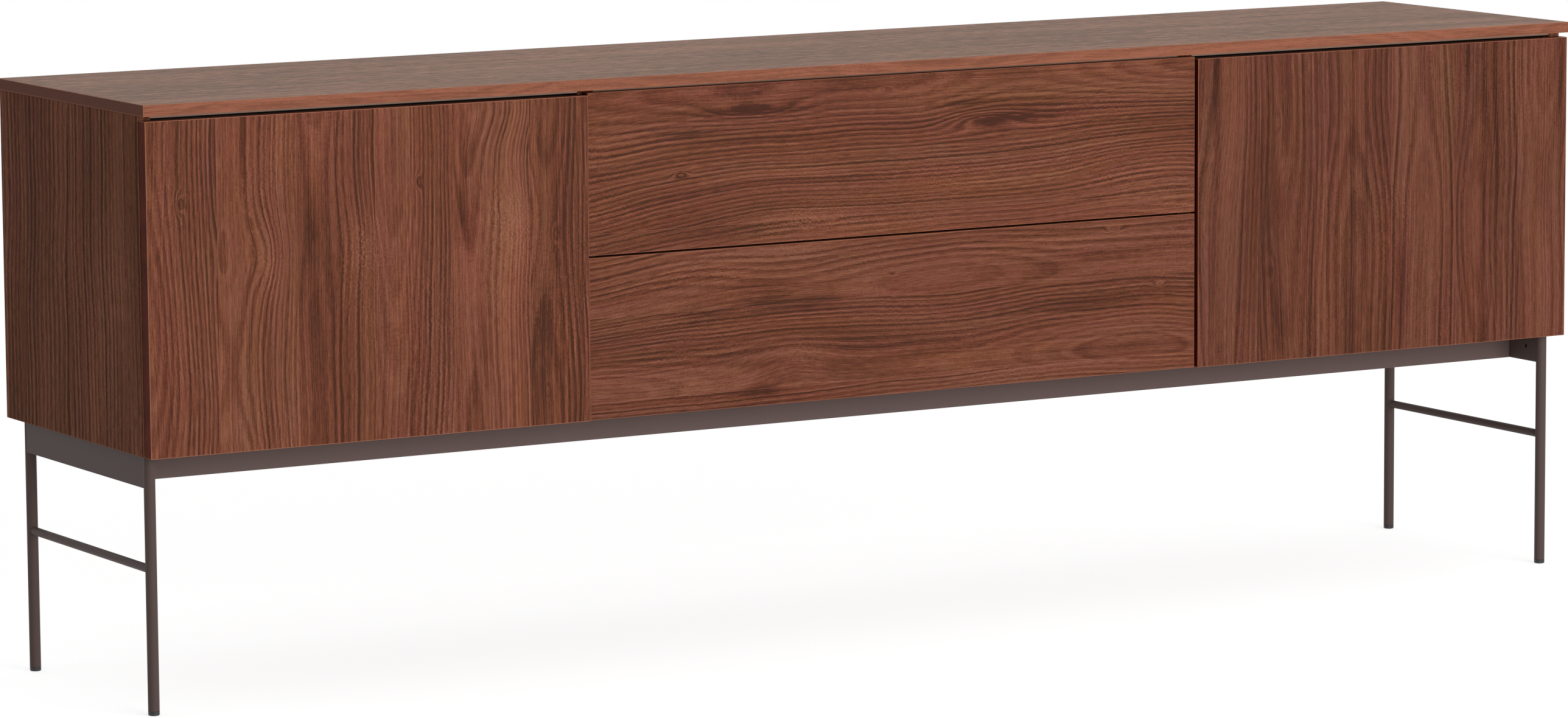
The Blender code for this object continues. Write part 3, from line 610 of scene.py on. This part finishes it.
def veneer(
    node, name, *, upright, seed, start, heart=0.10, long_axis="X", leaf=None, ring=None, coarse=1.0,
    marks=None, gain=1.0, contrast=1.15, mottle=0.0, gloss=0.03, sheen=0.0, rub=0.55, banded=False,
    shaded_ends=False,
):
    """Veneer on one board, with the grain up it or along it.

    The marks are bells: knots turn the rings round a place, pulls shift the grain across, stains darken it
    and ripples give it a fine cross curl. The arrises are lighter, partly from wear and partly as a painted
    highlight, and a board may have a band of straight grain on its long edges, or narrow ends darkened as
    painted shade.
    """
    wood = bpy.context.scene.sideboard.wood
    low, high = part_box(node)
    material, g, shader = new_material(name)
    place = g.place()
    faces = g.add("ShaderNodeGroup", node_tree=board_group())
    for key, value in (("Place", place), ("Low", tuple(low)), ("High", tuple(high))):
        g.feed(faces.inputs[key], value)
    on_x, on_z = faces.outputs["On X face"], faces.outputs["On Z face"]
    across, along = grain_axes(g, place, on_x, on_z, upright, long_axis)
    across = g.math("MULTIPLY", across, coarse)

    grain = g.add("ShaderNodeGroup", node_tree=veneer_group())
    values = {
        "Across": across, "Along": along, "Seed": seed, "Start": start, "Heart": heart,
        "Leaf width": leaf or wood.leaf, "Ring": ring or wood.ring,
    }
    for kind, items in (marks or {}).items():
        values[kind] = bells(g, across, along, items)
    for key, value in values.items():
        g.feed(grain.inputs[key], value)
    plain = tone = grain.outputs["Tone"]
    if mottle:
        spots = g.layer(across, along, GRAIN["mottle"], seed, detail=3.0, roughness=0.6)
        tone = g.math("ADD", tone, g.weigh(spots, mottle))

    colour = g.vector("MULTIPLY", wood_colours(g, tone, wood, gain, contrast), grain.outputs["Hue"])
    if shaded_ends:
        # Painted shade on the narrow ends of the board.
        colour = g.tint(on_x, colour, rgba(wood.ends), "MULTIPLY")
    if banded:
        band = g.shades(g.steps(plain, 0.25, 0.85), wood.band, (0.74, 1.26))
        # Painted shade, with some darker end grain, on the ends of the band.
        band = g.tint(on_x, band, rgba(BAND_END_GRAIN_AND_SHADE))
        colour = g.tint(on_z, band, colour)
    # Lighter arrises: partly wear, partly a painted highlight.
    arris_wear_and_glint = g.math("MULTIPLY", faces.outputs["Arris"], rub)
    colour = g.tint(arris_wear_and_glint, colour, rgba(wood.light, WEAR_AND_GLINT_GAIN))
    seam = g.math("MULTIPLY", grain.outputs["Seam"], SEAM_SHARE)
    g.feed(shader.inputs["Base Color"], g.tint(seam, colour, rgba(wood.light, gain)))
    shader.inputs["Specular IOR Level"].default_value = gloss
    shader.inputs["Sheen Weight"].default_value = sheen
    shader.inputs["Sheen Tint"].default_value = SHEEN_TINT
    roughness = g.math("SUBTRACT", wood.roughness + 0.05, g.math("MULTIPLY", tone, 0.09))
    g.feed(shader.inputs["Roughness"], roughness)
    emboss(g, shader, tone, distance=0.00012, strength=0.35)
    finish_node(node, material)


def lacquer(name, gain=1.0, lip=None):
    """Matt lacquer: an even colour with a very fine orange-peel surface.

    Below the height of a lip, where one is given, the colour is painted shade: a near black that stands in
    for the shadow in the gap behind the lip.
    """
    wood = bpy.context.scene.sideboard.wood
    material, g, shader = new_material(name)
    place = g.place()
    clouds = g.noise(place, scale=9.0, detail=3.0)
    peel = g.noise(place, scale=1400.0, detail=1.0)
    colour = g.shades(clouds, wood.lacquer, (0.92, 1.07), gain)
    if lip is not None:
        # Painted shade: below the lip the lacquer is made near black, as the shadow in the gap.
        below = g.math("LESS_THAN", g.split(place)[2], lip)
        colour = g.tint(below, colour, rgba(wood.lacquer, GAP_PAINTED_SHADE_GAIN))
    g.feed(shader.inputs["Base Color"], colour)
    shader.inputs["Specular IOR Level"].default_value = 0.15
    g.feed(shader.inputs["Roughness"], g.steps(clouds, 0.2, 0.8, start=0.50, end=0.58))
    emboss(g, shader, peel, distance=0.00003, strength=0.3)
    return material


def powder_coat(name, gain):
    """Fine-textured coat: speckle in the colour and a pebbled surface."""
    metal = bpy.context.scene.sideboard.metal
    material, g, shader = new_material(name)
    place = g.place()
    speckle = g.noise(place, scale=900.0, roughness=0.6)
    clouds = g.noise(place, scale=6.0)
    tone = g.math("ADD", g.math("MULTIPLY", speckle, 0.75), g.math("MULTIPLY", clouds, 0.25))
    g.feed(shader.inputs["Base Color"], g.shades(tone, metal.coat, (0.84, 1.16), gain))
    shader.inputs["Specular IOR Level"].default_value = 0.12
    g.feed(shader.inputs["Roughness"], g.steps(speckle, 0.3, 0.7, start=0.46, end=0.56))
    emboss(g, shader, speckle, distance=0.00006, strength=0.5)
    return material


def zinc(name):
    """Plated steel: slight clouds in the plating and fine lines along Y from the roll."""
    metal = bpy.context.scene.sideboard.metal
    material, g, shader = new_material(name)
    place = g.place()
    x, y, z = g.split(place)
    lines = g.layer(x, y, (1800.0, 30.0), g.math("MULTIPLY", z, 1800.0))
    clouds = g.noise(place, scale=60.0, detail=3.0)
    g.feed(shader.inputs["Base Color"], g.shades(clouds, metal.plate, (0.88, 1.1)))
    g.feed(shader.inputs["Roughness"], g.steps(lines, 0.3, 0.7, start=0.28, end=0.42))
    shader.inputs["Metallic"].default_value = 1.0
    emboss(g, shader, lines, distance=0.00003, strength=0.3)
    return material


def plastic(name, colour):
    """Moulded plastic: a fine spark-eroded texture."""
    material, g, shader = new_material(name)
    place = g.place()
    grain = g.noise(place, scale=1600.0)
    clouds = g.noise(place, scale=25.0)
    g.feed(shader.inputs["Base Color"], g.shades(clouds, colour, (0.85, 1.2)))
    g.feed(shader.inputs["Roughness"], g.steps(grain, 0.3, 0.7, start=0.42, end=0.56))
    emboss(g, shader, grain, distance=0.00004, strength=0.4)
    return material


def finish_node(node, material):
    """Put one material on a CAD node's slots."""
    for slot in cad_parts[node].material_slots:
        slot.material = material


def finish_like(prefix, material):
    """Put one material on every CAD node whose name starts with the prefix."""
    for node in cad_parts:
        if node.startswith(prefix):
            finish_node(node, material)


def grid_object(name, points, quads, material):
    """A linked object from its points and four-sided faces."""
    mesh = bpy.data.meshes.new(name)
    mesh.from_pydata(points.reshape(-1, 3).tolist(), [], quads.reshape(-1, 4).tolist())
    mesh.materials.append(material)
    made = bpy.data.objects.new(name, mesh)
    bpy.context.scene.collection.objects.link(made)
    return made


def surface(name, points, body, material, wrap_rows=False):
    """A closed mesh from grids of points, whole arrays at a time.

    points is (pieces, rows, columns, 3). The columns close on themselves. The rows close too when
    wrap_rows is set, and otherwise the first and last rows are poles that meet in one point.
    """
    pieces, rows, columns, _ = points.shape
    row, column = np.meshgrid(np.arange(rows if wrap_rows else rows - 1), np.arange(columns), indexing="ij")
    here, below = row * columns, (row + 1) % rows * columns
    aside = (column + 1) % columns
    quads = np.stack([here + column, below + column, below + aside, here + aside], -1)
    quads = quads.reshape(-1, 4)[None] + rows * columns * np.arange(pieces)[:, None, None]
    made = grid_object(name, points, quads, material)
    made.data.validate()
    close_up(made.data)
    made.data.shade_smooth()
    made.data.set_sharp_from_angle(angle=SHARP_ANGLE)
    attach(made, body)


def close_up(mesh):
    """Merge the doubled points at poles and turn all faces outwards."""
    bm = bmesh.new()
    bm.from_mesh(mesh)
    bmesh.ops.remove_doubles(bm, verts=bm.verts, dist=MERGE_DISTANCE)
    bmesh.ops.dissolve_degenerate(bm, edges=bm.edges, dist=MERGE_DISTANCE)
    bmesh.ops.recalc_face_normals(bm, faces=bm.faces)
    bm.to_mesh(mesh)
    bm.free()


def screw_heads(places, facing, radius):
    """Pan heads with a cross recess: height over the distance from the middle and the turn.

    The height is a flattened dome, less a recess where the point lies in either arm of a cross.
    The last rows go down the rim and back to the middle of the underside.
    """
    turns = np.linspace(0.0, 2 * np.pi, HEAD_COLUMNS, endpoint=False)
    out, turn = np.meshgrid(HEAD_ROWS, turns, indexing="ij")
    a, b = out * np.cos(turn), out * np.sin(turn)
    dome = DOME_HEIGHT * np.sqrt(np.clip(1.0 - DOME_FALL * out**4, 0.0, 1.0))
    cross = np.maximum(
        np.clip((RECESS_HALF_WIDTH - np.abs(a)) / RECESS_SLOPE, 0, 1) * (np.abs(b) < RECESS_REACH),
        np.clip((RECESS_HALF_WIDTH - np.abs(b)) / RECESS_SLOPE, 0, 1) * (np.abs(a) < RECESS_REACH),
    )
    height = dome - np.clip(RECESS_FALL * (1.0 - out), 0.0, RECESS_DEPTH) * cross
    under = np.zeros((2, HEAD_COLUMNS))
    a = np.concatenate([a, a[-1:], under[:1]])[..., None] * radius
    b = np.concatenate([b, b[-1:], under[:1]])[..., None] * radius
    height = np.concatenate([height, under])[..., None] * radius
    facing = np.asarray(facing, float)
    side = np.cross(facing, (0.0, 0.0, 1.0))
    head = a * side + b * np.cross(side, facing) + height * facing
    return np.asarray(places, float)[:, None, None, :] + head[None]


def weld_rings(legs, leg_radius, bead, toward):
    """Beads along the curve where a round cross bar meets a round leg.

    On that curve the offset along the bar is the root of the leg's squared radius less the squared
    offset across it. The bead is a circle carried along the curve, swollen a little by a wave so
    that it looks laid by hand.
    """
    turn = np.linspace(0.0, 2 * np.pi, BEAD_ROWS, endpoint=False)
    outward = np.stack([np.cos(turn), np.zeros_like(turn), np.sin(turn)], -1)
    path = CROSS_BAR_RADIUS * outward
    path[:, 1] = toward * np.sqrt(leg_radius**2 - path[:, 0] ** 2)
    tangent = np.roll(path, -1, 0) - np.roll(path, 1, 0)
    tangent /= np.linalg.norm(tangent, axis=1, keepdims=True)
    other = np.cross(tangent, outward)
    around = np.linspace(0.0, 2 * np.pi, BEAD_COLUMNS, endpoint=False)[None, :, None]
    size = bead * (1.0 + BEAD_SWELL * np.sin(BEAD_WAVES * turn))[:, None, None]
    tube = path[:, None] + size * (np.cos(around) * outward[:, None] + np.sin(around) * other[:, None])
    return np.asarray(legs, float)[:, None, None, :] + tube[None]


class SIDEBOARD_OT_carcass(Operator):
    """Veneer the top, ends, dividers, bottom and back, and lacquer the rails under the top"""

    bl_idname = "sideboard.carcass"
    bl_label = "Carcass"

    def execute(self, context):
        # The top's gain of 1.20 is painted light: its veneer is made paler than the fronts' to stand in for
        # more light on the top.
        veneer(
            "top_panel", "walnut top", upright=False, seed=31.0, start=-0.30, heart=0.30, gain=1.20,
            contrast=2.4, mottle=1.15, gloss=0.053, sheen=0.09, banded=True,
        )
        for index, side in enumerate(SIDES):
            veneer(
                f"side_panel_{side}", f"walnut end {side}", upright=True, seed=52.0 + 9 * index,
                start=-0.116, heart=-0.55, long_axis="Y", coarse=0.5, gain=(0.955, 1.03, 0.985),
                contrast=1.30, gloss=0.011,
            )
            veneer(
                f"divider_{side}", f"walnut divider {side}", upright=True, seed=71.0 + 9 * index,
                start=-0.232, heart=-0.4, long_axis="Y", gain=0.9,
            )
        veneer("bottom_panel", "walnut bottom", upright=False, seed=91.0, start=-0.30, heart=0.2)
        veneer("back_panel", "walnut back", upright=True, seed=101.0, start=-1.19)
        # The rails' lacquer is made paler as painted light, and near black below the lip as painted shade.
        rail = lacquer("taupe rail", TOP_RAIL_PAINTED_LIGHT_GAIN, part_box("top_rail_left")[1][2] - LIP_HEIGHT)
        for side in SIDES:
            finish_node(f"top_rail_{side}", rail)
        # The centre rail's lacquer is made paler as painted light too.
        finish_node("top_rail_centre", lacquer("taupe centre rail", TOP_RAIL_PAINTED_LIGHT_GAIN))
        return {"FINISHED"}


class SIDEBOARD_OT_doors(Operator):
    """Veneer the two doors, with the grain up them and leaf beside leaf"""

    bl_idname = "sideboard.doors"
    bl_label = "Doors"

    def execute(self, context):
        for side, settings in DOORS.items():
            door, name = f"door_{side}", f"walnut door {side}"
            veneer(door, name, upright=True, gloss=0.028, shaded_ends=True, **settings)
        return {"FINISHED"}


class SIDEBOARD_OT_drawers(Operator):
    """Veneer the drawer fronts, with the grain along them, and lacquer the boxes behind"""

    bl_idname = "sideboard.drawers"
    bl_label = "Drawers"

    def execute(self, context):
        for level, settings in DRAWER_FRONTS.items():
            front, name = f"{level}_drawer_front", f"walnut {level} drawer"
            veneer(front, name, upright=False, contrast=1.06, shaded_ends=True, **settings)
            for part in ("side_left", "side_right", "back", "bottom"):
                finish_node(f"{level}_drawer_{part}", lacquer(f"taupe {level} {part}"))
        return {"FINISHED"}


class SIDEBOARD_OT_shelves(Operator):
    """Veneer the shelves and plate the angles that carry them"""

    bl_idname = "sideboard.shelves"
    bl_label = "Shelves"

    def execute(self, context):
        for index, side in enumerate(SIDES):
            seed = 111.0 + 7 * index
            veneer(f"shelf_{side}", f"walnut shelf {side}", upright=False, seed=seed, start=-0.2, heart=0.2)
        finish_like("shelf_angle", zinc("zinc angles"))
        return {"FINISHED"}


class SIDEBOARD_OT_fittings(Operator):
    """Finish the hinges, runners and push latches, and add the screws that hold the hinges and angles"""

    bl_idname = "sideboard.fittings"
    bl_label = "Fittings"

    def execute(self, context):
        metal = context.scene.sideboard.metal
        plated = zinc("zinc plate")
        for prefix in ("hinge_", "runner_"):
            finish_like(prefix, plated)
        finish_like("push_", plastic("latch plastic", metal.latch))
        screw = zinc("zinc screws")
        for side, sign in SIDES.items():
            plates, flanges = [], []
            for level in LEVELS:
                low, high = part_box(f"hinge_arm_{side}_{level}")
                x = (low[0] if sign > 0 else high[0]) + sign * PLATE_SUNK
                y = high[1] - PLATE_SCREW_FROM_BACK
                plates += [(x, y, low[2] + PLATE_SCREW_FROM_END), (x, y, high[2] - PLATE_SCREW_FROM_END)]
                low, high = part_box(f"hinge_cup_{side}_{level}")
                x, y = (low[0] + high[0]) / 2, high[1]
                flanges += [(x, y, low[2] + CUP_SCREW_FROM_END), (x, y, high[2] - CUP_SCREW_FROM_END)]
            heads = screw_heads(plates, (-sign, 0, 0), metal.screw)
            surface(f"plate_screws_{side}", heads, CABINET, screw)
            heads = screw_heads(flanges, (0, 1, 0), metal.screw * CUP_SCREW_SHARE)
            surface(f"cup_screws_{side}", heads, f"{side}_door", screw)
            for end, inward in (("outer", -sign), ("inner", sign)):
                low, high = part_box(f"shelf_angle_{side}_{end}")
                x = (high[0] if inward < 0 else low[0]) + inward * ANGLE_THICKNESS
                z = low[2] + ANGLE_SCREW_HEIGHT
                places = [(x, low[1] + ANGLE_SCREW_FROM_END, z), (x, high[1] - ANGLE_SCREW_FROM_END, z)]
                heads = screw_heads(places, (inward, 0, 0), metal.screw * ANGLE_SCREW_SHARE)
                surface(f"angle_screws_{side}_{end}", heads, CABINET, screw)
        return {"FINISHED"}


class SIDEBOARD_OT_base(Operator):
    """Coat the steel base, add its weld beads and finish the glides"""

    bl_idname = "sideboard.base"
    bl_label = "Base"

    def execute(self, context):
        metal = context.scene.sideboard.metal
        # The frames get the same coat made darker: painted shade on the legs.
        coat = powder_coat("bronze coat frames", SIDE_FRAME_PAINTED_SHADE_GAIN)
        finish_like("side_frame", coat)
        finish_like("base_rail", powder_coat("bronze coat rails", BASE_RAIL_GAIN))
        finish_like("glide", plastic("glide plastic", metal.glide))
        for side in SIDES:
            for end, toward in (("front", 1.0), ("back", -1.0)):
                low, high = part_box(f"glide_{end}_{side}")
                leg = ((low[0] + high[0]) / 2, (low[1] + high[1]) / 2, CROSS_BAR_HEIGHT)
                beads = weld_rings([leg], (high[0] - low[0]) / 2, metal.bead, toward)
                surface(f"weld_{end}_{side}", beads, CABINET, coat, wrap_rows=True)
        return {"FINISHED"}


class SIDEBOARD_OT_stage(Operator):
    """Lay the pale floor, set the soft light and place the camera"""

    bl_idname = "sideboard.stage"
    bl_label = "Stage"

    def execute(self, context):
        stage = context.scene.sideboard.stage
        self.lay_floor(stage)
        self.light_world(stage)
        self.soft_light(stage)
        self.set_camera(stage)
        context.scene.view_settings.view_transform = "Standard"
        return {"FINISHED"}

    def lay_floor(self, stage):
        """A wide flat sheet: a grid over X and Y, a hair below nought so that the glides are clear."""
        material, g, shader = new_material("pale floor")
        shader.inputs["Base Color"].default_value = rgba(stage.floor)
        shader.inputs["Roughness"].default_value = FLOOR_ROUGHNESS
        shader.inputs["Specular IOR Level"].default_value = 0.0
        shader.inputs["Emission Color"].default_value = WHITE
        g.feed(shader.inputs["Emission Strength"], g.math("MULTIPLY", self.seen_directly(g), FLOOR_GLOW))
        reach = np.linspace(-FLOOR_REACH, FLOOR_REACH, FLOOR_LINES)
        x, y = np.meshgrid(reach, reach, indexing="ij")
        points = np.stack([x, y, np.full_like(x, -FLOOR_DROP)], -1)
        index = np.arange(FLOOR_LINES**2).reshape(FLOOR_LINES, FLOOR_LINES)
        quads = np.stack([index[:-1, :-1], index[1:, :-1], index[1:, 1:], index[:-1, 1:]], -1)
        floor = grid_object("floor", points, quads, material)

    def seen_directly(self, g):
        """One for rays from the camera, off gloss or through glass, and nought for the rest."""
        rays = g.add("ShaderNodeLightPath").outputs
        glossy = g.math("MAXIMUM", rays["Is Glossy Ray"], rays["Is Transmission Ray"])
        return g.math("MAXIMUM", rays["Is Camera Ray"], glossy)

    def light_world(self, stage):
        """White where it is seen, and weaker as light."""
        world = bpy.data.worlds.new("studio")
        world.use_nodes = True
        g = Graph(world.node_tree)
        back = world.node_tree.nodes["Background"]
        g.feed(back.inputs["Color"], WHITE)
        g.feed(back.inputs["Strength"], g.mix(self.seen_directly(g), stage.sky, 1.0))
        bpy.context.scene.world = world

    def soft_light(self, stage):
        """A wide lamp in front of the sideboard."""
        light = bpy.data.lights.new("key", "AREA")
        light.shape = "RECTANGLE"
        light.size, light.size_y = KEY_SIZE
        light.energy = stage.key
        holder = bpy.data.objects.new("key", light)
        place = Vector(KEY_PLACE)
        aim = (Vector(KEY_AIM) - place).to_track_quat("-Z", "Y")
        holder.matrix_world = Matrix.Translation(place) @ aim.to_matrix().to_4x4()
        bpy.context.scene.collection.objects.link(holder)

    def set_camera(self, stage):
        """The camera where the photograph was taken from."""
        data = bpy.data.cameras.new("camera")
        data.sensor_fit = "HORIZONTAL"
        data.sensor_width = FILM_WIDTH
        data.lens = stage.lens * 1000.0
        data.clip_end = VIEW_END
        camera = bpy.data.objects.new("camera", data)
        turn = Matrix.Rotation(-stage.yaw, 4, "Z") @ Matrix.Rotation(math.pi / 2 - stage.pitch, 4, "X")
        camera.matrix_world = Matrix.Translation(stage.place) @ turn @ Matrix.Rotation(-stage.roll, 4, "Z")
        bpy.context.scene.collection.objects.link(camera)
        bpy.context.scene.camera = camera


STEPS = (
    SIDEBOARD_OT_carcass,
    SIDEBOARD_OT_doors,
    SIDEBOARD_OT_drawers,
    SIDEBOARD_OT_shelves,
    SIDEBOARD_OT_fittings,
    SIDEBOARD_OT_base,
    SIDEBOARD_OT_stage,
)


class SIDEBOARD_PT_panel(Panel):
    """Lists the steps in the order that they run"""

    bl_idname = "SIDEBOARD_PT_panel"
    bl_label = "Low sideboard"
    bl_space_type = "VIEW_3D"
    bl_region_type = "UI"
    bl_category = "Sideboard"

    def draw(self, context):
        for step in STEPS:
            self.layout.operator(step.bl_idname)


CLASSES = (WoodSettings, MetalSettings, StageSettings, SideboardSettings, *STEPS, SIDEBOARD_PT_panel)


def register():
    for item in CLASSES:
        bpy.utils.register_class(item)
    bpy.types.Scene.sideboard = PointerProperty(type=SideboardSettings)


def unregister():
    del bpy.types.Scene.sideboard
    for item in reversed(CLASSES):
        bpy.utils.unregister_class(item)


def main():
    register()
    for step in STEPS:
        group, name = step.bl_idname.split(".")
        getattr(getattr(bpy.ops, group), name)()


if __name__ == "__main__":
    main()
